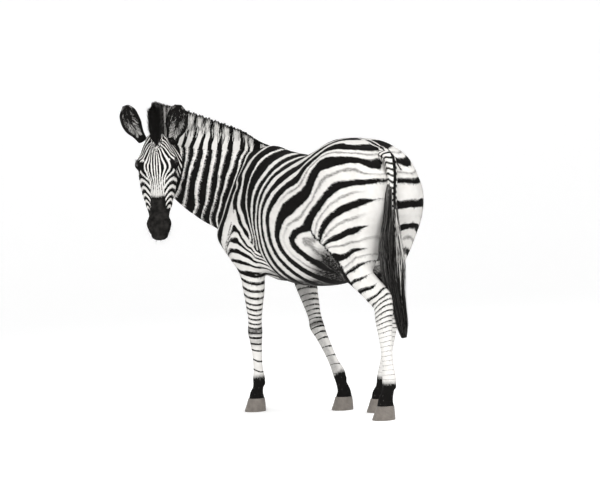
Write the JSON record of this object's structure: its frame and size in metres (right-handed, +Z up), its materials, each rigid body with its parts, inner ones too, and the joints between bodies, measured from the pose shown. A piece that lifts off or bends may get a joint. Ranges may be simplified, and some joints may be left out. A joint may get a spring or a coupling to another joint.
{
  "type": "standing plains zebra, still life-size animal model",
  "caption": "Life-size still model of a standing plains zebra looking back over its left side, with striped coat, upright mane and hanging tail.",
  "frame": {"origin": "on the floor under the middle of the bounding box", "axes": "+Z up, -Y where the trunk heads, +X to the animal's left; the head is turned about 52 degrees past +X so that it looks back"},
  "size_m": [0.8998, 1.4734, 1.5409],
  "materials": {
    "coat": "short dense hair lying flat, off-white with near-black stripes",
    "long_hair": "coarse upright or hanging hair, near-black with off-white blocks in the mane",
    "muzzle_skin": "matt dark skin with very short hair",
    "hoof_horn": "dull grey-brown horn with growth rings",
    "eye": "wet dark brown, glossy"
  },
  "bodies": {
    "root": {"barrel": "coat", "cannon_fore_left": "coat", "cannon_fore_right": "coat", "cannon_hind_left": "coat", "cannon_hind_right": "coat", "ear_left": "coat", "ear_right": "coat", "eye_left": "eye", "eye_right": "eye", "forearm_left": "coat", "forearm_right": "coat", "forelock": "long_hair", "forequarters": "coat", "gaskin_left": "coat", "gaskin_right": "coat", "haunch_left": "coat", "haunch_right": "coat", "head": "coat", "hoof_fore_left": "hoof_horn", "hoof_fore_right": "hoof_horn", "hoof_hind_left": "hoof_horn", "hoof_hind_right": "hoof_horn", "mane": "long_hair", "muzzle": "muzzle_skin", "neck_lower": "coat", "neck_upper": "coat", "tail_dock": "coat", "tail_tuft": "long_hair"}
  },
  "joints": []
}
